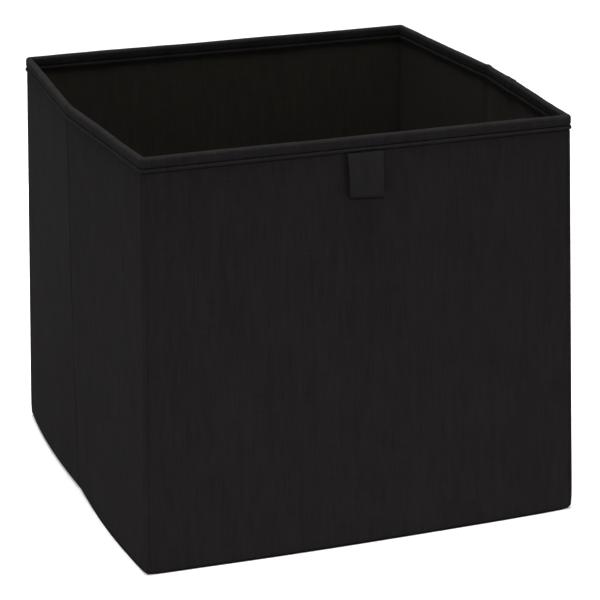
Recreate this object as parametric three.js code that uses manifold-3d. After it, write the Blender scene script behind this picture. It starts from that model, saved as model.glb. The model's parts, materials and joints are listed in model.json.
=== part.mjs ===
// Fold-flat fabric storage bin. Millimetres, +Z up, the front faces -Y, and the origin is the
// middle of the footprint on the surface that the bin stands on. Each wall is a stack of outer
// cloth, stiffener board and lining under a folded binding tape. The side walls are in two halves
// that meet at an upright crease, so the walls fold flat towards the front.
import * as THREE from 'three';
import { mergeVertices } from 'three/addons/utils/BufferGeometryUtils.js';
import Module from 'manifold-3d';

// Overall sizes: the rim from corner to corner, and the height of the walls' top edge.
const width = 310;
const depth = 310;
const wallTop = 290;
const creaseBulge = 6; // how far each side wall's crease stands proud of its corners
const cornerRadius = 5; // upright corners of the bottom cloth

// Thickness of each layer, and the play left between layers that touch.
const outerCloth = 0.5;
const board = 1.5;
const lining = 0.5;
const tape = 0.6;
const play = 0.3;

// Binding tape, folded over the rim.
const tapeBand = 10.5; // height of the tape below its top
const tapeCrown = 0.8; // tape over the walls' top edge
const tapeRound = 1.5; // rounding of its two upper edges

// Ends of the wall panels and boards.
const cornerGap = 0.5; // between a side wall and the front or back wall's inner face
const creaseGap = 0.4; // from a half wall's end to the crease line
const boardInset = 2; // the boards stop short of the cloth on every side
const boardRadius = 4;

// Bottom cloth and the loose base insert.
const bottomCloth = 0.5;
const seamWall = 0.8; // upturned edge of the bottom cloth
const insertBoard = 2;
const insertCloth = 0.5;
const insertPlay = 3; // from the insert's edge to the seam wall
const insertRadius = 6;
const insertBoardInset = 1.2; // the insert's cloth stands past its board

// Pull tab: a strip folded into a hanging loop.
const tabWidth = 25;
const tabLength = 30;
const tabCloth = 0.7;
const tabOpening = 5.2; // widest gap between its two runs
const tabNeck = 4; // flat stretch below the binding, where the two runs are sewn together
const tabFlare = 8; // height over which the runs part

const arcSteps = 6;

// Worked out from the sizes above.
const wallThickness = 2 * (tape + play) + outerCloth + board + lining + 2 * play;
const rimTop = wallTop + play + tapeCrown;
const tapeFoot = rimTop - tapeBand;
const clothFace = tape + play; // depth of the outer cloth's face below the tape's face
const insertFoot = bottomCloth + play;
const insertTop = insertFoot + 2 * (insertCloth + play) + insertBoard;
const seamTop = insertTop + play;
const wallFoot = seamTop + play;

// A side wall turns about the rim's inner corner and about the outer face of its crease. The
// half wall between those two lines has this length, and leans outwards by this angle.
const reachAcross = wallThickness + creaseBulge;
const reachAlong = depth / 2 - wallThickness;
const halfWall = Math.sqrt(reachAcross ** 2 + reachAlong ** 2 - wallThickness ** 2);
const lean = Math.atan2(reachAcross, reachAlong) - Math.atan2(wallThickness, halfWall);

const wasm = await Module();
wasm.setup();

const bin = new THREE.Group();

const finishes = {
  outerCloth: new THREE.MeshStandardMaterial({ color: 0x232122, roughness: 0.9, metalness: 0 }),
  lining: new THREE.MeshStandardMaterial({ color: 0x15140f, roughness: 0.95, metalness: 0 }),
  tape: new THREE.MeshStandardMaterial({ color: 0x2a282a, roughness: 0.85, metalness: 0 }),
  board: new THREE.MeshStandardMaterial({ color: 0x7d7060, roughness: 1, metalness: 0 }),
};

function addMesh(parent, name, geometry, finish) {
  const mesh = new THREE.Mesh(geometry, finishes[finish].clone());
  mesh.name = name;
  parent.add(mesh);
}

// A rectangle with rounded corners, from (x0, y0) to (x1, y1).
function roundedRectangle(x0, y0, x1, y1, radius) {
  const shape = new THREE.Shape();
  shape.moveTo(x0 + radius, y0);
  shape.lineTo(x1 - radius, y0);
  shape.absarc(x1 - radius, y0 + radius, radius, -Math.PI / 2, 0);
  shape.lineTo(x1, y1 - radius);
  shape.absarc(x1 - radius, y1 - radius, radius, 0, Math.PI / 2);
  shape.lineTo(x0 + radius, y1);
  shape.absarc(x0 + radius, y1 - radius, radius, Math.PI / 2, Math.PI);
  shape.lineTo(x0, y0 + radius);
  shape.absarc(x0 + radius, y0 + radius, radius, Math.PI, 1.5 * Math.PI);
  return shape;
}

function extrude(shape, length) {
  return new THREE.ExtrudeGeometry(shape, {
    depth: length,
    bevelEnabled: false,
    curveSegments: arcSteps,
  });
}

// Solids for cutting: position only, with shared vertices merged.
function solidOf(geometry) {
  const bare = geometry.clone();
  bare.deleteAttribute('normal');
  bare.deleteAttribute('uv');
  const merged = mergeVertices(bare, 1e-4);
  const data = {
    numProp: 3,
    vertProperties: new Float32Array(merged.attributes.position.array),
    triVerts: new Uint32Array(merged.index.array),
  };
  return new wasm.Manifold(new wasm.Mesh(data));
}

function geometryOf(solid) {
  const mesh = solid.getMesh();
  const geometry = new THREE.BufferGeometry();
  geometry.setAttribute('position', new THREE.BufferAttribute(mesh.vertProperties, 3));
  geometry.setIndex(new THREE.BufferAttribute(mesh.triVerts, 1));
  geometry.computeVertexNormals();
  return geometry;
}

// Wall panels. A panel's own frame has X along the wall, Y outwards from the inner face, Z up.

// A flat slab from x0 to x1 and z0 to z1, between two depths from the panel's inner face.
function slab(x0, x1, z0, z1, y0, y1, radius = 0) {
  const shape = radius
    ? roundedRectangle(x0, z0, x1, z1, radius)
    : new THREE.Shape([
        new THREE.Vector2(x0, z0),
        new THREE.Vector2(x1, z0),
        new THREE.Vector2(x1, z1),
        new THREE.Vector2(x0, z1),
      ]);
  const geometry = extrude(shape, y1 - y0);
  geometry.rotateX(Math.PI / 2);
  geometry.translate(0, y1, 0);
  return geometry;
}

// The binding's section, a U turned over, runs along the panel from x0 to x1.
function bindingTape(x0, x1) {
  const section = new THREE.Shape();
  const innerTop = wallTop + play;
  section.moveTo(0, tapeFoot);
  section.lineTo(tape, tapeFoot);
  section.lineTo(tape, innerTop);
  section.lineTo(wallThickness - tape, innerTop);
  section.lineTo(wallThickness - tape, tapeFoot);
  section.lineTo(wallThickness, tapeFoot);
  section.lineTo(wallThickness, rimTop - tapeRound);
  section.absarc(wallThickness - tapeRound, rimTop - tapeRound, tapeRound, 0, Math.PI / 2);
  section.lineTo(tapeRound, rimTop);
  section.absarc(tapeRound, rimTop - tapeRound, tapeRound, Math.PI / 2, Math.PI);
  const geometry = extrude(section, x1 - x0);
  geometry.rotateX(Math.PI / 2);
  geometry.rotateZ(Math.PI / 2);
  geometry.translate(x0, 0, 0);
  return geometry;
}

// Adds one wall. ends holds where each layer starts and stops along the wall.
function addWall(name, place, turn, ends) {
  const panel = new THREE.Group();
  panel.position.set(place[0], place[1], 0);
  panel.rotation.z = turn;
  bin.add(panel);

  const liningFace = tape + play;
  const boardFace = liningFace + lining + play;
  const clothBack = boardFace + board + play;
  addMesh(panel, `${name}_outer_cloth`,
    slab(...ends.cloth, wallFoot, wallTop, clothBack, clothBack + outerCloth), 'outerCloth');
  addMesh(panel, `${name}_board`,
    slab(...ends.board, wallFoot + boardInset, wallTop - boardInset,
      boardFace, boardFace + board, boardRadius), 'board');
  addMesh(panel, `${name}_lining`,
    slab(...ends.lining, wallFoot, wallTop, liningFace, liningFace + lining), 'lining');
  addMesh(panel, `${name}_binding`, bindingTape(...ends.tape), 'tape');
}

// The front and back walls run from corner to corner.
function addFullWalls() {
  const cloth = width / 2 - clothFace;
  const inner = width / 2 - wallThickness + clothFace;
  const ends = {
    cloth: [-cloth, cloth],
    board: [boardInset - cloth, cloth - boardInset],
    lining: [-inner, inner],
    tape: [-width / 2, width / 2],
  };
  addWall('front', [0, wallThickness - depth / 2], Math.PI, ends);
  addWall('back', [0, depth / 2 - wallThickness], 0, ends);
}

// Each side wall is two halves, hung on the rim's inner corners and leaning out to the crease.
function addSideWalls() {
  const near = cornerGap;
  const far = halfWall - creaseGap;
  const outward = [near, far];
  const outwardBoard = [near + boardInset, far - boardInset];
  const backward = [-far, -near];
  const backwardBoard = [boardInset - far, -near - boardInset];
  const cornerX = width / 2 - wallThickness;
  const cornerY = depth / 2 - wallThickness;
  const plain = { cloth: outward, lining: outward, tape: outward, board: outwardBoard };
  const mirrored = { cloth: backward, lining: backward, tape: backward, board: backwardBoard };
  const quarter = Math.PI / 2;
  addWall('left_front', [-cornerX, -cornerY], quarter + lean, plain);
  addWall('left_rear', [-cornerX, cornerY], quarter - lean, mirrored);
  addWall('right_front', [cornerX, -cornerY], -quarter - lean, mirrored);
  addWall('right_rear', [cornerX, cornerY], lean - quarter, plain);
}

// Bottom of the bin.

// A rounded block centred on the origin, from z0 to z1.
function block(halfX, halfY, z0, z1, radius) {
  const geometry = extrude(roundedRectangle(-halfX, -halfY, halfX, halfY, radius), z1 - z0);
  geometry.translate(0, 0, z0);
  return geometry;
}

// The bottom cloth is a sheet whose edge turns up all round, into the seam below the walls.
function addBottomCloth() {
  const halfX = width / 2 - clothFace;
  const halfY = depth / 2 - clothFace;
  const whole = solidOf(block(halfX, halfY, 0, seamTop, cornerRadius));
  const hollow = solidOf(
    block(halfX - seamWall, halfY - seamWall, bottomCloth, 2 * seamTop, cornerRadius - seamWall));
  addMesh(bin, 'bottom_cloth', geometryOf(whole.subtract(hollow)), 'outerCloth');
}

// The insert is a loose board between two cloths: the upper one turns down round the board.
function addBaseInsert() {
  const halfX = width / 2 - clothFace - seamWall - insertPlay;
  const halfY = depth / 2 - clothFace - seamWall - insertPlay;
  const skirt = insertBoardInset - play;
  const boardFoot = insertFoot + insertCloth + play;
  const boardHead = boardFoot + insertBoard;
  addMesh(bin, 'insert_bottom_cloth',
    block(halfX, halfY, insertFoot, insertFoot + insertCloth, insertRadius), 'lining');
  addMesh(bin, 'insert_board',
    block(halfX - insertBoardInset, halfY - insertBoardInset, boardFoot, boardHead,
      insertRadius - insertBoardInset), 'board');
  const cap = solidOf(block(halfX, halfY, boardFoot, insertTop, insertRadius));
  const room = solidOf(
    block(halfX - skirt, halfY - skirt, 0, boardHead + play, insertRadius - skirt));
  addMesh(bin, 'insert_top_cloth', geometryOf(cap.subtract(room)), 'lining');
}

// Pull tab.

// The loop seen from its side: X towards the wall, Y up from the strip's lower fold. The rear run
// lies flat against the wall. Adds to a path the front run, which leaves the neck's foot, stands
// half off the middle and turns round at the bottom.
function addFrontRun(path, half) {
  const neckFoot = tabLength - tabNeck;
  const shoulder = neckFoot - tabFlare;
  const turn = tabCloth + tabOpening / 2;
  path.quadraticCurveTo(-half, (neckFoot + shoulder) / 2, -half, shoulder);
  path.lineTo(-half, turn);
  path.absarc(0, turn, half, Math.PI, 2 * Math.PI);
}

function addPullTab() {
  const inside = tabOpening / 2;
  const outside = inside + tabCloth;
  const neckFoot = tabLength - tabNeck;
  const loop = new THREE.Shape();
  loop.moveTo(outside, tabLength);
  loop.lineTo(inside - tabCloth, tabLength);
  loop.lineTo(inside - tabCloth, neckFoot);
  addFrontRun(loop, outside);
  const opening = new THREE.Path();
  opening.moveTo(inside, neckFoot);
  addFrontRun(opening, inside);
  loop.holes.push(opening);
  const geometry = extrude(loop, tabWidth);
  geometry.rotateX(Math.PI / 2);
  geometry.rotateZ(Math.PI / 2);
  const clothPlane = clothFace - depth / 2;
  const middle = clothPlane - play - outside;
  geometry.translate(-tabWidth / 2, middle, tapeFoot - play - tabLength);
  addMesh(bin, 'pull_tab', geometry, 'tape');
}

addFullWalls();
addSideWalls();
addBottomCloth();
addBaseInsert();
addPullTab();

export default bin;
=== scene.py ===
import json
import math

import bmesh
import bpy
from bpy.props import FloatProperty, FloatVectorProperty, PointerProperty
from mathutils import Matrix, Vector, noise


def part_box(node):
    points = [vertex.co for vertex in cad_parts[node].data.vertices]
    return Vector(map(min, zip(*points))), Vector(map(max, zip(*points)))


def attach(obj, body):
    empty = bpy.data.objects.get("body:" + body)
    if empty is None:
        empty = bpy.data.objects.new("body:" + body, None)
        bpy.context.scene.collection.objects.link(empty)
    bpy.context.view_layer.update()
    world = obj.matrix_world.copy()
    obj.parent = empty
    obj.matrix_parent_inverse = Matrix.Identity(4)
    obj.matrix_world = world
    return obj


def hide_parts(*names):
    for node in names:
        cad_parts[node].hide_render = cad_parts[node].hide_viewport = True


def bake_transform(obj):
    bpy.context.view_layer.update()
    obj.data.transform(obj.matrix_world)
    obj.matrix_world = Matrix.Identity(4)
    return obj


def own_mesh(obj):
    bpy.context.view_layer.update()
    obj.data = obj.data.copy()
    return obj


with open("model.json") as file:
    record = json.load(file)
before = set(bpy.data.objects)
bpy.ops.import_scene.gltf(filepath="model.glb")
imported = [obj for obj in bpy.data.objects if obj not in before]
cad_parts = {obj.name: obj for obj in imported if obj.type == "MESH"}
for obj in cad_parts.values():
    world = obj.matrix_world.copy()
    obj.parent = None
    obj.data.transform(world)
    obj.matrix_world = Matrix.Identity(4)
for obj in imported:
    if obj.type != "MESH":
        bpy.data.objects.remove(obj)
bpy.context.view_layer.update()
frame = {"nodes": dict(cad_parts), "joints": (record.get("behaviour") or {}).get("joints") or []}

bl_info = {
    "name": "Fabric Storage Bin",
    "version": (1, 0, 0),
    "blender": (4, 5, 0),
    "location": "View3D > Sidebar > Storage Bin",
    "description": "Soft pieces and finishes of a folding fabric storage bin",
    "category": "Object",
}

MM = 0.001

# Planes of the frame. Depths into a wall are counted inwards from the binding's outer face.
BINDING_LOW, BINDING_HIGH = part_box("front_binding")
CLOTH_LOW, CLOTH_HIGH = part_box("front_outer_cloth")
LINING_LOW, LINING_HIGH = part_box("front_lining")
BOARD_LOW, BOARD_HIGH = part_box("front_board")
INSERT_LOW, INSERT_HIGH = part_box("insert_top_cloth")
INSERT_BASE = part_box("insert_bottom_cloth")[0].z
TAB_LOW, TAB_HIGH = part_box("pull_tab")
HALF = -BINDING_LOW.y
RIM = BINDING_HIGH.z
BINDING_FOOT = BINDING_LOW.z
WALL = BINDING_HIGH.y - BINDING_LOW.y
CLOTH_DEPTH = CLOTH_LOW.y - BINDING_LOW.y
CLOTH = CLOTH_HIGH.y - CLOTH_LOW.y
LINING_DEPTH = LINING_HIGH.y - BINDING_LOW.y
BOARD_DEPTH = BOARD_LOW.y - BINDING_LOW.y
BOARD = BOARD_HIGH.y - BOARD_LOW.y
INNER_HALF = HALF - WALL

# Each wall by name: which way it faces, and which way runs to the right as seen from outside.
FACING = {
    "front": (Vector((0, -1, 0)), Vector((1, 0, 0))),
    "right": (Vector((1, 0, 0)), Vector((0, 1, 0))),
    "back": (Vector((0, 1, 0)), Vector((-1, 0, 0))),
    "left": (Vector((-1, 0, 0)), Vector((0, -1, 0))),
}
EDGE_RADIUS = 4.2 * MM  # of an upright edge, outside
TIGHT_RADIUS = 0.8 * MM  # the same edge inside
PANEL_END = HALF - 7 * MM  # a panel gives way to its corner strip here
CREASE_REACH = 20 * MM  # half width of the strip that bends at a side wall's crease
CREASE_STEPS = [0, 0.5, 1, 1.6, 2.4, 3.6, 5.5, 8, 11, 15, 20]  # millimetres from the crease
STEP = 6 * MM  # the usual distance between a skin's rows or columns
SEAM_INSET = 4.2 * MM  # from an upright edge to its row of stitches
TUCK = 6 * MM  # how far the cloths run up inside the binding
GROOVE = RIM - 7.4 * MM  # height of the groove that the binding's stitches make
LOOSE_SPAN = 20 * MM  # a cloth is held flat along its edges and comes free over this width
SHEET_STEPS = 48  # squares along each side of a level sheet
COVER_STEPS = 100  # the same for the insert's cover, which shows its stitched edge
OVERLAP_CENTRE, OVERLAP_HALF = -43 * MM, 9 * MM  # the tape's overlap, along the right wall
# the tab's band of painted shade is centred at TAB_FOLD
TAB_FOLD = TAB_HIGH.z - TAB_LOW.z + 4.8 * MM  # up the tab's strip, just in front of its fold


class BinSizes(bpy.types.PropertyGroup):
    rim_swell: FloatProperty(
        name="Rim swell", description="How far a side wall's crease stands out at the rim",
        default=8.4 * MM, unit="LENGTH")
    foot_swell: FloatProperty(
        name="Foot swell", description="How far a side wall's crease stands out at the floor",
        default=2.9 * MM, unit="LENGTH")
    wave: FloatProperty(
        name="Wave", description="Unevenness of the boarded walls",
        default=0.8 * MM, unit="LENGTH")
    pucker: FloatProperty(
        name="Pucker", description="How far the loose outer cloth stands off its board",
        default=0.35 * MM, unit="LENGTH")
    foot_round: FloatProperty(
        name="Foot round", description="Radius of the outer cloth's turn under the wall",
        default=2.8 * MM, unit="LENGTH")
    foot_flare: FloatProperty(
        name="Foot flare", description="How much further out the walls stand at the floor",
        default=6.0 * MM, unit="LENGTH")
    rim_draw: FloatProperty(
        name="Rim draw", description="How far the binding draws the walls in at the rim",
        default=0.8 * MM, unit="LENGTH")
    corner_pull: FloatProperty(
        name="Corner pull", description="How far the lower corners are drawn in",
        default=1.5 * MM, unit="LENGTH")
    foot_bow: FloatProperty(
        name="Foot bow", description="How far each panel bows out at the floor",
        default=2.8 * MM, unit="LENGTH")
    stitch_pitch: FloatProperty(
        name="Stitch pitch", description="From one stitch to the next",
        default=3.6 * MM, unit="LENGTH")
    tab_lean: FloatProperty(
        name="Tab lean", description="How far the pull tab's loop stands off the wall",
        default=7.8 * MM, unit="LENGTH")


class BinColours(bpy.types.PropertyGroup):
    outer: FloatVectorProperty(
        name="Outer cloth", description="Colour of the outer cloth", subtype="COLOR",
        default=(0.0132, 0.0117, 0.0124), min=0, max=1)
    lining: FloatVectorProperty(
        name="Lining", description="Colour of the lining", subtype="COLOR",
        default=(0.0226, 0.0206, 0.0173), min=0, max=1)
    binding: FloatVectorProperty(
        name="Binding", description="Colour of the rim binding and the pull tab", subtype="COLOR",
        default=(0.0120, 0.0110, 0.0114), min=0, max=1)
    thread: FloatVectorProperty(
        name="Thread", description="Colour of the stitches", subtype="COLOR",
        default=(0.0045, 0.0042, 0.0043), min=0, max=1)
    board: FloatVectorProperty(
        name="Board", description="Colour of the stiffening board", subtype="COLOR",
        default=(0.30, 0.24, 0.17), min=0, max=1)
    floor: FloatVectorProperty(
        name="Floor", description="Colour of the studio floor", subtype="COLOR",
        default=(0.90, 0.90, 0.90), min=0, max=1)


# Shader maths.


class Wire:
    """One output of a shader node, which can be used in sums like a number."""

    def __init__(self, surface, socket):
        self.surface = surface
        self.socket = socket

    def maths(self, operation, *values):
        return self.surface.node("Math", {"operation": operation}, dict(enumerate(values)))

    def __add__(self, other):
        return self.maths("ADD", self, other)

    def __radd__(self, other):
        return self.maths("ADD", other, self)

    def __sub__(self, other):
        return self.maths("SUBTRACT", self, other)

    def __rsub__(self, other):
        return self.maths("SUBTRACT", other, self)

    def __mul__(self, other):
        return self.maths("MULTIPLY", self, other)

    def __rmul__(self, other):
        return self.maths("MULTIPLY", other, self)

    def __abs__(self):
        return self.maths("ABSOLUTE", self)


class Surface:
    """A material whose nodes are written as Python expressions."""

    def __init__(self, name):
        self.material = bpy.data.materials.new(name)
        self.material.use_nodes = True
        self.tree = self.material.node_tree
        self.shader = self.tree.nodes["Principled BSDF"]

    def node(self, kind, settings=None, inputs=None, output=0):
        """Adds a node, sets it up, gives its inputs values or wires, and returns one output."""
        made = self.tree.nodes.new("ShaderNode" + kind)
        for key, value in (settings or {}).items():
            setattr(made, key, value)
        for key, value in (inputs or {}).items():
            self.feed(made.inputs[key], value)
        return Wire(self, made.outputs[output])

    def feed(self, socket, value):
        if isinstance(value, Wire):
            self.tree.links.new(value.socket, socket)
        else:
            socket.default_value = value

    def noise(self, place, scale, detail=2.0, roughness=0.5):
        return self.node("TexNoise", {"noise_dimensions": "3D"}, {
            "Vector": place, "Scale": scale, "Detail": detail, "Roughness": roughness})

    def stretched(self, place, scale):
        """The place with its axes scaled one by one."""
        return self.node("Mapping", {"vector_type": "POINT"}, {"Vector": place, "Scale": scale})

    def split(self, place):
        """The first two axes of a place."""
        return [self.node("SeparateXYZ", None, {0: place}, axis) for axis in (0, 1)]

    def sine(self, value):
        return self.node("Math", {"operation": "SINE"}, {0: value})

    def near(self, value, middle, reach):
        """1 where the value is at the middle, falling to 0 at the reach."""
        return self.node("Clamp", None, {0: 1 - abs(value - middle) * (1 / reach)})

    def mix(self, share, first, second):
        return self.node("Mix", {"data_type": "RGBA"}, {0: share, 6: first, 7: second}, 2)

    def finish(self, **inputs):
        for key, value in inputs.items():
            self.feed(self.shader.inputs[key.replace("_", " ")], value)
        return self.material


def scaled(colour, share):
    """A colour made lighter or darker, with its alpha."""
    return (*(min(1.0, c * share) for c in colour), 1.0)


def woven_cloth(name, colour, warmth=1.0, slub=1.0, thread_pitch=0.55 * MM, painted_shade=()):
    """Plain woven cloth: fine threads both ways and uneven slubs that run mostly upright.

    Its last argument lists bands of painted shade, darkened into the colour where a seam's groove,
    a lip or a fold would lie in shade: how far up the cloth, and its reach.
    """
    surface = Surface(name)
    place = surface.node("UVMap", {"uv_map": "weave"})
    upright = surface.noise(surface.stretched(place, (900, 45, 1)), 1.0, 3.0, 0.62)
    level = surface.noise(surface.stretched(place, (60, 1000, 1)), 1.0, 2.0, 0.55)
    broad = surface.noise(surface.stretched(place, (190, 14, 1)), 1.0, 2.0, 0.6)
    mottle = surface.noise(place, 28.0, 4.0, 0.6)
    apart = 2 * math.pi / thread_pitch
    along, up = surface.split(place)
    warp = surface.sine(along * apart)
    weft = surface.sine(up * apart)
    threads = warp * 0.5 + weft * 0.5
    streaks = ((upright - 0.5) * 1.5 + (level - 0.5) * 0.8 + (broad - 0.5) * 0.7) * slub
    tone = streaks + (mottle - 0.5) * 0.5 + threads * 0.10 + 0.5
    shade = surface.node("Clamp", None, {0: tone})
    dark = scaled(colour, 0.72)
    # painted shade: the cloth's colour taken nearly to black
    painted_shade_colour = scaled(colour, 0.12)
    light = scaled((colour[0], colour[1], colour[2] * warmth), 1.28)
    tint = surface.mix(shade, dark, light)
    # each listed band is darkened towards that painted shade
    for middle, reach in painted_shade:
        tint = surface.mix(surface.near(up, middle, reach) * 0.95, tint, painted_shade_colour)
    height = threads * 0.35 + streaks * 0.9
    bump = surface.node("Bump", None, {
        "Strength": 0.45, "Distance": 0.35 * MM, "Height": height})
    rough = 0.95 - shade * 0.12
    material = surface.finish(Base_Color=tint, Roughness=rough, Normal=bump)
    surface.shader.inputs["Specular IOR Level"].default_value = 0.03
    surface.shader.inputs["Sheen Weight"].default_value = 0.01
    surface.shader.inputs["Sheen Roughness"].default_value = 0.45
    return material


def sewing_thread(name, colour):
    """Twisted polyester thread, a little glossier than the cloth."""
    surface = Surface(name)
    place = surface.node("TexCoord", None, None, 3)
    twist = surface.noise(place, 2500.0, 2.0)
    tint = surface.mix(twist, scaled(colour, 0.6), scaled(colour, 1.4))
    bump = surface.node("Bump", None, {"Strength": 0.4, "Distance": 0.1 * MM, "Height": twist})
    material = surface.finish(Base_Color=tint, Roughness=0.6 + twist * 0.15, Normal=bump)
    surface.shader.inputs["Specular IOR Level"].default_value = 0.1
    return material


def pressed_board(name, colour):
    """Grey-brown pressed paperboard with fibres and specks."""
    surface = Surface(name)
    place = surface.node("TexCoord", None, None, 3)
    fibre = surface.noise(surface.stretched(place, (900, 900, 120)), 1.0, 4.0, 0.7)
    cloud = surface.noise(place, 35.0, 3.0)
    specks = surface.node("Math", {"operation": "GREATER_THAN"}, {
        0: surface.noise(place, 1400.0, 1.0), 1: 0.68})
    tone = surface.mix(fibre * 0.6 + cloud * 0.4, scaled(colour, 0.7), scaled(colour, 1.25))
    tint = surface.mix(specks * 0.5, tone, scaled(colour, 0.35))
    bump = surface.node("Bump", None, {"Strength": 0.3, "Distance": 0.1 * MM, "Height": fibre})
    return surface.finish(Base_Color=tint, Roughness=0.82 + fibre * 0.1, Normal=bump)


def studio_floor(name, colour):
    """Pale seamless floor with a little light of its own."""
    surface = Surface(name)
    place = surface.node("TexCoord", None, None, 3)
    cloud = surface.noise(place, 0.8, 2.0)
    tint = surface.mix(cloud, scaled(colour, 0.995), scaled(colour, 1.005))
    material = surface.finish(Base_Color=tint, Roughness=0.9, Emission_Color=tint)
    surface.shader.inputs["Emission Strength"].default_value = 0.3
    return material


FINISHES = {}


def finish_for(slot):
    """The material of one of the record's slots, made when it is first asked for."""
    colours = bpy.context.scene.bin_colours
    outer_length = profile_length(outer_profile())
    tape_length = profile_length(binding_profile())
    recipes = {
        # the outer cloth gets a band of painted shadow just under the binding's lip
        "outer_cloth": lambda: woven_cloth(
            "outer_cloth", colours.outer, painted_shade=[(outer_length - TUCK - 0.5 * MM, 0.75 * MM)]),
        "lining_cloth": lambda: woven_cloth("lining_cloth", colours.lining, 0.94, 0.9),
        # the tape gets bands of painted shade along its stitched groove, outside and inside
        "binding_tape": lambda: woven_cloth(
            "binding_tape", colours.binding, 1.0, 1.1, 0.5 * MM,
            painted_shade=[(GROOVE - BINDING_FOOT, 0.8 * MM),
                    (tape_length - GROOVE + BINDING_FOOT, 0.4 * MM)]),
        # the tab gets a band of painted shade where its fold turns under
        "tab_cloth": lambda: woven_cloth(
            "tab_cloth", colours.binding, 1.0, 0.8, 0.5 * MM,
            painted_shade=[(TAB_FOLD, 2.4 * MM)]),
        "insert_cloth": lambda: woven_cloth("insert_cloth", colours.lining, 0.94, 0.9),
        "thread": lambda: sewing_thread("thread", colours.thread),
        "stiffener_board": lambda: pressed_board("stiffener_board", colours.board),
        "insert_board": lambda: pressed_board("insert_board", colours.board),
    }
    if slot not in FINISHES:
        FINISHES[slot] = recipes[slot]()
    return FINISHES[slot]


# Places on the walls. A station is a function from a depth into the wall to a place in plan, the
# way the wall faces there and the distance from a side wall's crease. That distance is None on
# the front and back walls and round the upright edges.


def wall_station(wall, along):
    """On a wall, at a distance to the right of its middle."""
    out, right = FACING[wall]
    crease = along if wall in ("left", "right") else None

    def place(inset):
        return out * (HALF - inset) + right * along, out, crease
    return place


def edge_radius(inset):
    """Radius of an upright edge at a depth into the wall."""
    return max(EDGE_RADIUS - inset, TIGHT_RADIUS)


def near_edge_station(wall, end, share):
    """Between a panel's end (share 0) and the start of the turn of the upright edge (share 1)."""
    out, right = FACING[wall]

    def place(inset):
        turn_start = HALF - inset - edge_radius(inset)
        along = end * (PANEL_END + (turn_start - PANEL_END) * share)
        return out * (HALF - inset) + right * along, out, None
    return place


def turn_station(wall, share):
    """On the turn from a wall to the next one on its right."""
    out, right = FACING[wall]
    facing = out * math.cos(share * math.pi / 2) + right * math.sin(share * math.pi / 2)

    def place(inset):
        radius = edge_radius(inset)
        return (out + right) * (HALF - inset - radius) + facing * radius, facing, None
    return place


def smooth_share(value):
    """0 below 0, 1 above 1 and a smooth rise between."""
    value = min(1.0, max(0.0, value))
    return value * value * (3 - 2 * value)


def crease_swell(across, height):
    """How far a side wall stands out: most at its crease (across 0) and at the rim."""
    sizes = bpy.context.scene.bin_sizes
    soften = 3.5 * MM
    ends = math.hypot(PANEL_END, soften)
    share = max(0.0, (ends - math.hypot(across, soften)) / (ends - soften))
    lift = min(1.0, max(0.0, height / RIM)) ** 0.75
    return (sizes.foot_swell + (sizes.rim_swell - sizes.foot_swell) * lift) * share


def foot_bow(along, creased, height):
    """How far a panel bows out, most at its foot and halfway between its edges or creases."""
    share = min(1.0, abs(along) / PANEL_END)
    arch = math.sin(math.pi * share) if creased else math.cos(math.pi / 2 * share)
    low = min(1.0, max(0.0, 1 - height / RIM))
    return bpy.context.scene.bin_sizes.foot_bow * max(0.0, arch) * low ** 3


def from_upright_edge(place):
    """How far a place on a wall is from the nearer upright edge."""
    return max(HALF - abs(place.x), HALF - abs(place.y))


def wall_wave(place, height):
    """The boards' slight unevenness, the same through a wall's whole thickness."""
    flat_edge = 35 * MM
    seed = Vector((place.x * 9 + 3.1, place.y * 9 + 7.7, height * 6 + 1.3))
    clear = smooth_share(from_upright_edge(place) / flat_edge)
    return bpy.context.scene.bin_sizes.wave * noise.noise(seed) * clear


def looseness(place, height, seed):
    """How free a cloth is at a place: 0 along its edges and where the noise is low."""
    lift = smooth_share(height / (30 * MM)) * smooth_share((BINDING_FOOT - height) / (12 * MM))
    clear = smooth_share((from_upright_edge(place) - 8 * MM) / LOOSE_SPAN)
    return max(0.0, seed) * lift * clear


def wall_place(station, inset, height, crease_shift=0.0, crease_width=1.0):
    """A place in a wall, with the wall's swell, bow, flare and unevenness.

    crease_shift moves it outwards at a side wall's crease, over crease_width each way.
    """
    place, out, crease = station(inset)
    wave = wall_wave(place, height)
    if max(abs(out.x), abs(out.y)) > 0.999:
        along = place.y if crease is not None else place.x
        wave += foot_bow(along, crease is not None, height)
    if crease is not None:
        place = place + out * crease_shift * math.exp(-(crease / crease_width) ** 2)
    sizes = bpy.context.scene.bin_sizes
    side = math.copysign(1.0, place.x)
    from_edge = (HALF - abs(place.x)) + (HALF - abs(place.y))
    pull = sizes.corner_pull * math.exp(-from_edge / (8 * MM)) * math.exp(-height / (5 * MM))
    low = min(1.0, max(0.0, 1 - height / RIM))
    flare = 1 + ((sizes.foot_flare + sizes.rim_draw) * low - sizes.rim_draw) / HALF
    x = place.x * flare + side * crease_swell(place.y, height) - side * pull
    y = place.y * flare - math.copysign(pull, place.y)
    moved = Vector((x, y, 0)) + out * wave
    moved.z = height
    return moved


def steps_between(start, end, step=STEP):
    """Even steps from start to end, both included."""
    count = max(1, round(abs(end - start) / step))
    return [start + (end - start) * k / count for k in range(count + 1)]


def panel_stations(wall, start, end, step):
    return [wall_station(wall, along) for along in steps_between(start, end, step)]


def crease_stations(wall):
    steps = [s * MM for s in CREASE_STEPS]
    return [wall_station(wall, along) for along in [-s for s in steps[:0:-1]] + steps]


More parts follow.
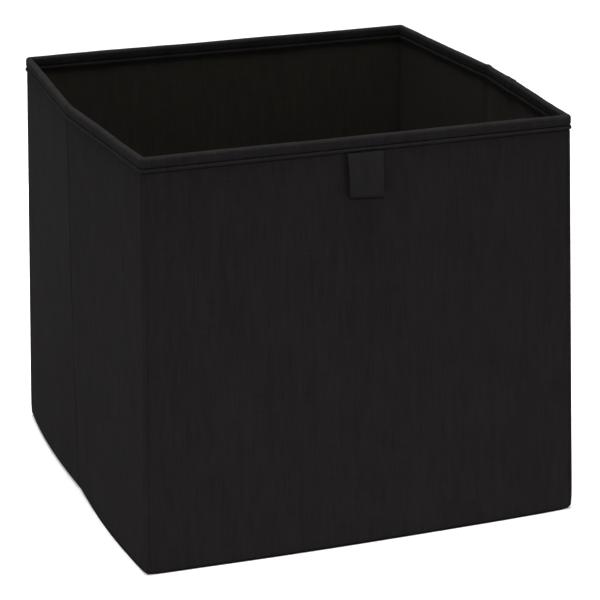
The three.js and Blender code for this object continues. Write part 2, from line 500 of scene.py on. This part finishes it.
def corner_stations(wall, next_wall, first=0.0, last=1.0, turns=8):
    """Round the upright edge between two walls. first and last cut the turn short."""
    beside = (0.0, 0.35, 0.6, 0.8)
    stations = []
    if first == 0.0:
        stations += [near_edge_station(wall, 1, share) for share in beside]
    shares = [k / turns for k in range(turns + 1) if first <= k / turns <= last]
    stations += [turn_station(wall, share) for share in shares]
    if last == 1.0:
        stations += [near_edge_station(next_wall, -1, share) for share in beside[::-1]]
    return stations


def crease_pivot():
    """How far the creases' hinge lines are from the middle."""
    crease = next(j for j in frame["joints"] if j["name"] == "left_crease")
    return -crease["pos_m"][0]


def wall_sections(step=STEP):
    """The lengths that each layer of the walls is made in, in order round the bin.

    Each: name, the body it follows or the two bodies it lies between, its stations, two points
    across its bend or None.
    """
    pivot = INNER_HALF
    outer = HALF
    swell = crease_pivot()
    sections = []

    def panel(name, body, wall, start, end):
        sections.append((name, (body,), panel_stations(wall, start, end, step), None))

    def strip(name, bodies, stations, start, end):
        sections.append((name, bodies, stations, (Vector(start), Vector(end))))

    panel("front", "front_wall", "front", -PANEL_END, PANEL_END)
    strip("front_right_edge", ("front_wall", "right_front_wall"),
          corner_stations("front", "right"), (pivot, -outer, 0), (outer, -pivot, 0))
    panel("right_front", "right_front_wall", "right", -PANEL_END, -CREASE_REACH)
    strip("right_crease", ("right_front_wall", "right_rear_wall"), crease_stations("right"),
          (swell, -CREASE_REACH, 0), (swell, CREASE_REACH, 0))
    panel("right_rear", "right_rear_wall", "right", CREASE_REACH, PANEL_END)
    sections.append(("right_rear_edge", ("right_rear_wall",),
                     corner_stations("right", "back", last=0.5), None))
    sections.append(("back_right_edge", ("back_wall",),
                     corner_stations("right", "back", first=0.5), None))
    panel("back", "back_wall", "back", -PANEL_END, PANEL_END)
    strip("back_left_edge", ("back_wall", "left_rear_wall"),
          corner_stations("back", "left"), (-pivot, outer, 0), (-outer, pivot, 0))
    panel("left_rear", "left_rear_wall", "left", -PANEL_END, -CREASE_REACH)
    strip("left_crease", ("left_rear_wall", "left_front_wall"), crease_stations("left"),
          (-swell, CREASE_REACH, 0), (-swell, -CREASE_REACH, 0))
    panel("left_front", "left_front_wall", "left", CREASE_REACH, PANEL_END)
    strip("front_left_edge", ("left_front_wall", "front_wall"),
          corner_stations("left", "front"), (-outer, -pivot, 0), (-pivot, -outer, 0))
    return sections


# Making pieces.


def new_piece(name, mesh, slot):
    """Turns a bmesh into a piece with its finish. Open edges stay crisp when it is thickened."""
    for edge in mesh.edges:
        edge.smooth = not edge.is_boundary
    data = bpy.data.meshes.new(name)
    mesh.to_mesh(data)
    mesh.free()
    piece = bpy.data.objects.new(name, data)
    bpy.context.scene.collection.objects.link(piece)
    data.materials.append(finish_for(slot))
    for polygon in data.polygons:
        polygon.use_smooth = True
    return piece


def thicken(piece, thickness):
    """Gives a skin its thickness, behind the side that shows."""
    solid = piece.modifiers.new("thickness", "SOLIDIFY")
    solid.thickness = thickness
    solid.offset = -1
    solid.use_even_offset = True


def follow(piece, bodies):
    """Ties a piece to its body. A piece between two bodies is left where it is made, tied to
    neither.
    """
    if len(bodies) == 1:
        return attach(piece, bodies[0])
    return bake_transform(piece)


def flat_grid(columns, rows):
    """A flat grid, and for each vertex which column and row it is in."""
    mesh = bmesh.new()
    bmesh.ops.create_grid(mesh, x_segments=columns, y_segments=rows, size=1.0)
    where = {}
    for vertex in mesh.verts:
        column = round((vertex.co.x + 1) / 2 * columns)
        row = round((vertex.co.y + 1) / 2 * rows)
        where[vertex] = (column, row)
    return mesh, where


def lengths_along(points):
    """How far each point is along the line through them."""
    total = [0.0]
    for first, second in zip(points, points[1:]):
        total.append(total[-1] + (second - first).length)
    return total


def skin(stations, profile, shape, inward=False, start=0.0):
    """A skin through stations, with the profile's (depth, height) rows.

    Its map "weave" holds metres along and metres up. Returns a bmesh, its width and its height.
    """
    mesh, where = flat_grid(len(stations) - 1, len(profile) - 1)
    depth, height = profile[len(profile) // 2]
    along = lengths_along([shape(s, depth, height) for s in stations])
    up = lengths_along([Vector((d, 0, h)) for d, h in profile])
    weave = mesh.loops.layers.uv.new("weave")
    for vertex, (column, row) in where.items():
        vertex.co = shape(stations[column], *profile[row])
    for face in mesh.faces:
        for loop in face.loops:
            column, row = where[loop.vert]
            loop[weave].uv = (start + along[column], up[row])
    if inward:
        bmesh.ops.reverse_faces(mesh, faces=mesh.faces[:])
    return mesh, along[-1], up[-1]


def add_layer(layer, slot, profile, shape, thickness, inward=False, sections=None):
    """One layer of the walls in its panels and strips. Returns each with its flat size."""
    made = {}
    start = 0.0
    for name, bodies, stations, bend in sections or wall_sections():
        mesh, width, height = skin(stations, profile, shape, inward, start)
        start += width
        piece = new_piece(f"{name}_{layer}", mesh, slot)
        follow(piece, bodies)
        thicken(piece, thickness)
        made[name] = (piece, width, height)
    return made


def replace_wall_nodes(suffix):
    """Hides the CAD nodes of a layer's six panels."""
    for name in ("front", "back", "left_front", "left_rear", "right_front", "right_rear"):
        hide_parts(f"{name}_{suffix}")


def profile_length(profile):
    """The length of a profile's line."""
    return lengths_along([Vector((depth, 0, height)) for depth, height in profile])[-1]


def outer_profile():
    """The outer cloth from its hem under the wall up into the binding, as (depth, height)."""
    turn = bpy.context.scene.bin_sizes.foot_round
    foot = 0.6 * MM
    rows = [(CLOTH_DEPTH + turn + 1.2 * MM, foot)]
    for k in range(7):
        angle = k / 6 * math.pi / 2
        rows.append((CLOTH_DEPTH + turn * (1 - math.sin(angle)),
                     foot + turn * (1 - math.cos(angle))))
    heights = steps_between(foot + turn, BINDING_FOOT - 2 * MM)[1:]
    heights += [BINDING_FOOT - 1 * MM, BINDING_FOOT, BINDING_FOOT + TUCK]
    return rows + [(CLOTH_DEPTH, height) for height in heights]


class BIN_OT_outer_cloth(bpy.types.Operator):
    """Outer cloth: six panels, their creases and their upright edges"""

    bl_idname = "bin.outer_cloth"
    bl_label = "Outer cloth"

    def execute(self, context):
        sizes = context.scene.bin_sizes

        def shape(station, inset, height):
            base, out, _ = station(inset)
            seed = noise.noise(Vector((base.x * 30, base.y * 30, height * 14)))
            stand = sizes.pucker * looseness(base, height, seed + 0.15)
            if abs(out.y) > 0.99:
                from_seam = HALF - SEAM_INSET - abs(base.x)
                stand -= 0.3 * MM * math.exp(-(from_seam / (0.7 * MM)) ** 2)
            stand -= 0.5 * MM * smooth_share((height - BINDING_FOOT + 2 * MM) / (2 * MM))
            return wall_place(station, inset - stand, height, -0.5 * MM, 1.0 * MM)

        made = add_layer("outer_skin", "outer_cloth", outer_profile(), shape, CLOTH)
        replace_wall_nodes("outer_cloth")
        return {"FINISHED"}


class BIN_OT_lining(bpy.types.Operator):
    """Lining: six panels, their creases and their upright edges"""

    bl_idname = "bin.lining"
    bl_label = "Lining"

    def execute(self, context):
        sizes = context.scene.bin_sizes
        foot = 1.4 * MM
        profile = [(LINING_DEPTH, z) for z in steps_between(foot, BINDING_FOOT + TUCK)]

        def shape(station, inset, height):
            base = station(inset)[0]
            seed = noise.noise(Vector((base.x * 26 + 5, base.y * 26, height * 12)))
            stand = sizes.pucker * looseness(base, height, seed + 0.1)
            return wall_place(station, inset + stand, height, 1.2 * MM, 6 * MM)

        made = add_layer("lining_skin", "lining_cloth", profile, shape, CLOTH, inward=True)
        replace_wall_nodes("lining")
        return {"FINISHED"}


class BIN_OT_boards(bpy.types.Operator):
    """Stiffening boards between the cloths, and the insert board's finish"""

    bl_idname = "bin.boards"
    bl_label = "Boards"

    def execute(self, context):
        profile = [(BOARD_DEPTH, z) for z in steps_between(BOARD_LOW.z, BOARD_HIGH.z)]
        for name, bodies, stations, bend in wall_sections():
            node = f"{name}_board"
            if node not in frame["nodes"]:
                continue
            mesh, _, _ = skin(stations, profile, wall_place)
            piece = new_piece(f"{name}_stiffener", mesh, "stiffener_board")
            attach(piece, bodies[0])
            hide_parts(node)
            thicken(piece, BOARD)
        for slot in frame["nodes"]["insert_board"].material_slots:
            slot.material = finish_for("insert_board")
        return {"FINISHED"}


def binding_profile():
    """The tape's outline from its outer lip over the rim to its inner lip, as (depth, height)."""
    shoulder = RIM - 2.6 * MM

    def run(height, share=1.0):
        groove = share * 0.62 * MM * math.exp(-((height - GROOVE) / (0.65 * MM)) ** 2)
        lip = share * 0.45 * MM * math.exp(-((height - BINDING_FOOT - 1.1 * MM) / (1.1 * MM)) ** 2)
        return 0.16 * MM + groove - lip

    rows = steps_between(BINDING_FOOT, shoulder, 0.7 * MM)
    outer = [(run(z), z) for z in rows]
    inner = [(WALL - run(z, 0.35), z) for z in reversed(rows)]
    half = WALL / 2 - outer[-1][0]
    crown = []
    for k in range(1, 10):
        angle = math.pi * (1 - k / 10)
        crown.append((WALL / 2 + half * math.cos(angle),
                      shoulder + (RIM - shoulder) * math.sin(angle) ** 0.8))
    return outer + crown + inner


def binding_shape(station, inset, height):
    """The tape's place: lumpy, and pinched and raised a little at the creases."""
    base = station(WALL / 2)[0]
    ripple = noise.noise(Vector((base.x * 210, base.y * 210, height * 60)))
    lump = noise.noise(Vector((base.x * 55, base.y * 55, 4.2)))
    long_lump = noise.noise(Vector((base.x * 17, base.y * 17, 9.4)))
    swell = 0.34 * MM * ripple + 0.22 * MM * lump + 0.16 * MM * long_lump
    side = (inset - WALL / 2) / (WALL / 2)
    high = smooth_share((height - BINDING_FOOT) / (RIM - BINDING_FOOT))
    rise = (0.35 * MM * long_lump + 0.15 * MM * lump) * high
    crease = station(inset)[2]
    if crease is not None:
        rise += 0.8 * MM * math.exp(-(crease / (4 * MM)) ** 2) * high
    pinch = 0.6 * MM * smooth_share(side)
    return wall_place(station, inset + swell * side, height + rise - 0.3 * MM * high,
                      pinch, 6 * MM)


class BIN_OT_binding(bpy.types.Operator):
    """Binding tape folded over the rim, with the overlap where its ends meet"""

    bl_idname = "bin.binding"
    bl_label = "Rim binding"

    def execute(self, context):
        made = add_layer("tape", "binding_tape", binding_profile(), binding_shape, 0.5 * MM,
                         sections=wall_sections(2 * MM))
        replace_wall_nodes("binding")
        self.add_overlap(made["right_front"][0])
        return {"FINISHED"}

    def add_overlap(self, tape):
        """The tape's free end, turned under and sewn down over its start."""
        stations = [wall_station("right", OVERLAP_CENTRE + OVERLAP_HALF * k / 6)
                    for k in range(-6, 7)]
        profile = binding_profile()

        def shape(station, inset, height):
            side = (inset - WALL / 2) / (WALL / 2)
            crease = station(inset)[2]
            end = smooth_share((OVERLAP_HALF - abs(crease - OVERLAP_CENTRE)) / (2.5 * MM))
            lift = 0.10 * MM + 0.45 * MM * end
            return binding_shape(station, inset + lift * side, height + lift * (1 - abs(side)))

        mesh, width, height = skin(stations, profile, shape)
        piece = new_piece("binding_overlap", mesh, "binding_tape")
        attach(piece, "right_front_wall")
        thicken(piece, 0.4 * MM)


def add_stitch(mesh, start, end, radius):
    """One stitch: a spindle of thread from start to end."""
    middle = (start + end) / 2
    line = end - start
    turn = line.to_track_quat("Z", "Y").to_matrix().to_4x4()
    size = Matrix.Diagonal((radius, radius, line.length / 2, 1))
    bmesh.ops.create_uvsphere(
        mesh, u_segments=6, v_segments=4, radius=1.0,
        matrix=Matrix.Translation(middle) @ turn @ size)


def add_row(mesh, points, pitch, radius):
    """Stitches along a line of points, evenly, with a gap between them."""
    reach = lengths_along(points)
    count = max(1, round(reach[-1] / pitch))
    pitch = reach[-1] / count

    def at(distance):
        """The place at a distance along the line."""
        for k in range(1, len(points)):
            if distance <= reach[k] or k == len(points) - 1:
                share = (distance - reach[k - 1]) / max(reach[k] - reach[k - 1], 1e-9)
                return points[k - 1].lerp(points[k], share)

    for k in range(count):
        add_stitch(mesh, at((k + 0.12) * pitch), at((k + 0.88) * pitch), radius)


class BIN_OT_stitching(bpy.types.Operator):
    """Stitches through the binding and down the upright edges"""

    bl_idname = "bin.stitching"
    bl_label = "Stitching"

    def execute(self, context):
        pitch = context.scene.bin_sizes.stitch_pitch
        for name, bodies, stations, bend in wall_sections():
            mesh = bmesh.new()
            for depth in (0.84 * MM, WALL - 0.84 * MM):
                if "edge" in name and depth > WALL / 2:
                    continue
                points = [binding_shape(s, depth, GROOVE) for s in stations]
                add_row(mesh, points, pitch, 0.2 * MM)
            if name.endswith("_edge"):
                self.add_seam(mesh, name, stations, pitch)
            piece = new_piece(f"{name}_stitches", mesh, "thread")
            follow(piece, bodies)
        return {"FINISHED"}

    def add_seam(self, mesh, name, stations, pitch):
        """The row of stitches beside an upright edge, on the front or the back wall."""
        wall = "front" if name.startswith("front") else "back"
        if name == "right_rear_edge":
            return
        end = {"front_left_edge": -1, "front_right_edge": 1,
               "back_left_edge": 1, "back_right_edge": -1}[name]
        station = wall_station(wall, end * (HALF - SEAM_INSET))
        heights = steps_between(9 * MM, BINDING_FOOT - 1.5 * MM)
        points = [wall_place(station, CLOTH_DEPTH + 0.12 * MM, z) for z in heights]
        add_row(mesh, points, pitch, 0.2 * MM)


class BIN_OT_bottom(bpy.types.Operator):
    """Bottom cloth: a level sheet tied to the front wall"""

    bl_idname = "bin.bottom"
    bl_label = "Bottom cloth"

    def execute(self, context):
        half = HALF - CLOTH_DEPTH - 1 * MM
        thickness = 0.45 * MM
        mesh = rounded_grid(half, 3 * MM, SHEET_STEPS)
        for vertex in mesh.verts:
            side = wall_place(wall_station("right", vertex.co.y), HALF - half, 0)
            front = wall_place(wall_station("front", vertex.co.x), HALF - half, 0)
            vertex.co.x *= side.x / half
            vertex.co.y *= -front.y / half
            vertex.co.z = thickness
        piece = new_piece("bottom_sheet", mesh, "outer_cloth")
        thicken(piece, thickness)
        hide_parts("bottom_cloth")
        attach(piece, "front_wall")
        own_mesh(piece)
        return {"FINISHED"}


def rounded_grid(half, radius, steps):
    """A level square grid whose corners are round, with its map in metres."""
    mesh, _ = flat_grid(steps, steps)
    weave = mesh.loops.layers.uv.new("weave")
    straight = half - radius
    for vertex in mesh.verts:
        flat = Vector((vertex.co.x * half, vertex.co.y * half, 0))
        over = Vector((max(abs(flat.x) - straight, 0), max(abs(flat.y) - straight, 0), 0))
        if over.x > 0 and over.y > 0:
            over = over.normalized() * max(over.x, over.y)
            flat = Vector((math.copysign(straight + over.x, flat.x),
                           math.copysign(straight + over.y, flat.y), 0))
        vertex.co = flat
    for face in mesh.faces:
        for loop in face.loops:
            loop[weave].uv = (loop.vert.co.x, loop.vert.co.y)
    return mesh


class BIN_OT_insert(bpy.types.Operator):
    """Loose base insert: cloth above and below its board, and the stitches round it"""

    bl_idname = "bin.insert"
    bl_label = "Base insert"

    def execute(self, context):
        half = INSERT_HIGH.x
        radius = 6 * MM
        top = INSERT_HIGH.z
        self.add_top(half, radius, top)
        self.add_bottom(half, radius)
        self.add_stitches(half, top)
        return {"FINISHED"}

    def cover_height(self, place, half, top):
        """The upper cloth sits low at its edge and swells a little between the stitches."""
        edge = min(half - abs(place.x), half - abs(place.y))
        round_over = 0.35 * MM * (1 - smooth_share(edge / (3 * MM))) ** 2
        seam = 0.16 * MM * math.exp(-((edge - 6 * MM) / (1.5 * MM)) ** 2)
        wave = 0.10 * MM * (noise.noise(Vector((place.x * 20, place.y * 20, 2.0))) - 0.5)
        return top - round_over - seam + min(0.0, wave)

    def add_top(self, half, radius, top):
        """The upper cloth, turned down round the board to meet the lower one."""
        mesh = rounded_grid(half, radius, COVER_STEPS)
        for vertex in mesh.verts:
            vertex.co.z = self.cover_height(vertex.co, half, top)
        rim = [edge for edge in mesh.edges if edge.is_boundary]
        for level in (top - 1.0 * MM, INSERT_BASE + CLOTH):
            made = bmesh.ops.extrude_edge_only(mesh, edges=rim)["geom"]
            down = [g for g in made if isinstance(g, bmesh.types.BMVert)]
            rim = [g for g in made if isinstance(g, bmesh.types.BMEdge) and g.is_boundary]
            for vertex in down:
                vertex.co.z = level
        bmesh.ops.recalc_face_normals(mesh, faces=mesh.faces[:])
        piece = new_piece("insert_cover", mesh, "insert_cloth")
        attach(piece, "base_insert")
        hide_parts("insert_top_cloth")
        thicken(piece, 0.3 * MM)

    def add_bottom(self, half, radius):
        """The lower cloth, flat under the board."""
        mesh = rounded_grid(half - 0.2 * MM, radius, SHEET_STEPS)
        for vertex in mesh.verts:
            vertex.co.z = INSERT_BASE
        bmesh.ops.reverse_faces(mesh, faces=mesh.faces[:])
        piece = new_piece("insert_backing", mesh, "insert_cloth")
        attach(piece, "base_insert")
        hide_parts("insert_bottom_cloth")
        thicken(piece, CLOTH)

    def add_stitches(self, half, top):
        """One row of stitches round the insert, a little in from its edge."""
        line = half - 6 * MM
        turn = 4 * MM
        points = []
        for out, right in FACING.values():
            points.append(out * line - right * (line - turn))
            for k in range(7):
                angle = k / 6 * math.pi / 2
                facing = out * math.cos(angle) + right * math.sin(angle)
                points.append((out + right) * (line - turn) + facing * turn)
        points.append(points[0])
        fine = []
        for first, second in zip(points, points[1:]):
            for k in range(8):
                fine.append(first.lerp(second, k / 8))
        fine.append(points[-1].copy())
        for point in fine:
            point.z = self.cover_height(point, half, top) + 0.05 * MM
        mesh = bmesh.new()
        add_row(mesh, fine, 4.2 * MM, 0.26 * MM)
        piece = new_piece("insert_stitches", mesh, "thread")
        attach(piece, "base_insert")


class BIN_OT_pull_tab(bpy.types.Operator):
    """Pull tab: one strip of cloth folded into a loop and sewn in under the binding"""

    bl_idname = "bin.pull_tab"
    bl_label = "Pull tab"

    def execute(self, context):
        lean = context.scene.bin_sizes.tab_lean
        rows, columns = 44, 12
        wide = (TAB_HIGH.x - TAB_LOW.x) / 2
        back = TAB_HIGH.y
        top = TAB_HIGH.z
        length = TAB_HIGH.z - TAB_LOW.z + 1.6 * MM
        mesh, where = flat_grid(columns, rows)
        weave = mesh.loops.layers.uv.new("weave")
        line = [self.fold(k / rows, back, top, length, lean) for k in range(rows + 1)]
        reach = lengths_along(line)
        for vertex, (column, row) in where.items():
            across = column / columns * 2 - 1
            vertex.co = self.place(line[row], across, wide, top, length)
        for face in mesh.faces:
            for loop in face.loops:
                column, row = where[loop.vert]
                loop[weave].uv = (column / columns * 2 * wide, reach[row])
        piece = new_piece("pull_tab_loop", mesh, "tab_cloth")
        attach(piece, "pull_tab")
        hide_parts("pull_tab")
        thicken(piece, 0.9 * MM)
        return {"FINISHED"}

    def fold(self, share, back, top, length, lean):
        """The strip's middle line: down against the wall, round the fold, and up the front run."""
        neck = 2.4 * MM
        turn = 2.6 * MM
        near = lean - 2 * turn
        low = top - length + turn
        down, bottom = 0.42, 0.58
        if share < down:
            part = share / down
            return Vector((0, back - near * part ** 2.2, top - (top - low) * part))
        if share < bottom:
            angle = (share - down) / (bottom - down) * math.pi
            return Vector((0, back - near - turn * (1 - math.cos(angle)),
                           low - turn * math.sin(angle)))
        part = (share - bottom) / (1 - bottom)
        stand = neck + (lean - neck) * (1 - part) ** 0.75 * (1 - 0.25 * part ** 3)
        return Vector((0, back - stand, low + (top - low) * part))

    def place(self, middle, across, wide, top, length):
        """Gives the strip its width, a narrower fold, a slight twist and soft edges."""
        drop = (top - middle.z) / length
        width = wide * (1 - 0.06 * drop)
        x = across * width + 0.8 * MM - 0.9 * MM * drop
        y = middle.y - across * 0.7 * MM * drop
        curl = 0.25 * MM * noise.noise(Vector((across * 2, middle.z * 90, middle.y * 300)))
        return Vector((x, y + min(0.0, curl), middle.z - across * 0.6 * MM * drop))


class BIN_OT_stage(bpy.types.Operator):
    """Studio floor, lights and camera"""

    bl_idname = "bin.stage"
    bl_label = "Stage"

    def execute(self, context):
        self.add_floor(context)
        self.add_world(context)
        self.add_lights(context)
        self.add_camera(context)
        context.scene.view_settings.view_transform = "Standard"
        return {"FINISHED"}

    def add_floor(self, context):
        """A level floor, far wider than the view, that throws no light back at the bin."""
        mesh = bmesh.new()
        bmesh.ops.create_grid(mesh, x_segments=8, y_segments=8, size=8.0)
        data = bpy.data.meshes.new("floor")
        mesh.to_mesh(data)
        mesh.free()
        floor = bpy.data.objects.new("floor", data)
        context.scene.collection.objects.link(floor)
        data.materials.append(studio_floor("floor", context.scene.bin_colours.floor))
        floor.visible_diffuse = False
        floor.visible_glossy = False

    def add_world(self, context):
        """White light from above the horizon and hardly any from below it."""
        world = bpy.data.worlds.new("studio")
        world.use_nodes = True
        tree = world.node_tree
        background = tree.nodes["Background"]
        background.inputs["Color"].default_value = (1.0, 1.0, 1.0, 1.0)
        place = tree.nodes.new("ShaderNodeTexCoord")
        parts = tree.nodes.new("ShaderNodeSeparateXYZ")
        rising = tree.nodes.new("ShaderNodeMapRange")
        rising.inputs["From Min"].default_value = -0.1
        rising.inputs["From Max"].default_value = 0.1
        rising.inputs["To Min"].default_value = 0.06
        rising.inputs["To Max"].default_value = 0.34
        tree.links.new(place.outputs["Generated"], parts.inputs[0])
        tree.links.new(parts.outputs[2], rising.inputs["Value"])
        tree.links.new(rising.outputs[0], background.inputs["Strength"])
        context.scene.world = world

    def add_lights(self, context):
        """A soft light overhead and low strips round the bin, none of them seen themselves."""
        self.add_lamp(context, "overhead", Vector((-0.03, -0.09, 2.3)), 0.7, 0.7, 84.0)
        strip_height, strip_reach = 0.03, 0.8
        for name, power in (("front", 7.7), ("left", 5.6), ("right", 3.4), ("back", 1.8)):
            place = FACING[name][0] * strip_reach + Vector((0, 0, strip_height))
            self.add_lamp(context, name + "_strip", place, 1.8, 0.15, power)

    def add_lamp(self, context, name, place, width, depth, power):
        """A rectangular lamp aimed at the bin's middle."""
        lamp = bpy.data.lights.new(name, "AREA")
        lamp.shape = "RECTANGLE"
        lamp.size = width
        lamp.size_y = depth
        lamp.energy = power
        light = bpy.data.objects.new(name, lamp)
        context.scene.collection.objects.link(light)
        light.location = place
        aim = Vector((0, 0, 0.12)) - place
        light.rotation_euler = aim.to_track_quat("-Z", "Y").to_euler()
        light.visible_camera = False

    def add_camera(self, context):
        """The camera, to the front left and a little above the rim."""
        azimuth, elevation, roll = (math.radians(a) for a in (-19.8, 17.48, -0.41))
        distance = 1.805
        target = Vector((0.0105, 0.0, 0.1721))
        back = Vector((math.sin(azimuth) * math.cos(elevation),
                       -math.cos(azimuth) * math.cos(elevation), math.sin(elevation)))
        lens = bpy.data.cameras.new("camera")
        lens.lens = 147.3
        lens.sensor_width = 36
        lens.shift_y = -0.1
        lens.clip_end = 50
        camera = bpy.data.objects.new("camera", lens)
        context.scene.collection.objects.link(camera)
        turn = back.to_track_quat("Z", "Y") @ Matrix.Rotation(roll, 4, "Z").to_quaternion()
        camera.location = target + back * distance
        camera.rotation_euler = turn.to_euler()
        context.scene.camera = camera


class BIN_PT_storage_bin(bpy.types.Panel):
    """Lists the bin's sizes, colours and pieces"""

    bl_label = "Storage Bin"
    bl_idname = "BIN_PT_storage_bin"
    bl_space_type = "VIEW_3D"
    bl_region_type = "UI"
    bl_category = "Storage Bin"

    def draw(self, context):
        for group in (context.scene.bin_sizes, context.scene.bin_colours):
            for key in group.__annotations__:
                self.layout.prop(group, key)
        for piece in PIECES:
            self.layout.operator(piece.bl_idname)


PIECES = (
    BIN_OT_stage, BIN_OT_boards, BIN_OT_outer_cloth, BIN_OT_lining, BIN_OT_binding,
    BIN_OT_stitching, BIN_OT_bottom, BIN_OT_insert, BIN_OT_pull_tab,
)
CLASSES = (BinSizes, BinColours, *PIECES, BIN_PT_storage_bin)


def register():
    for item in CLASSES:
        bpy.utils.register_class(item)
    bpy.types.Scene.bin_sizes = PointerProperty(type=BinSizes)
    bpy.types.Scene.bin_colours = PointerProperty(type=BinColours)


def unregister():
    del bpy.types.Scene.bin_colours
    del bpy.types.Scene.bin_sizes
    for item in reversed(CLASSES):
        bpy.utils.unregister_class(item)


def main():
    register()
    for piece in PIECES:
        group, name = piece.bl_idname.split(".")
        getattr(getattr(bpy.ops, group), name)()


if __name__ == "__main__":
    main()
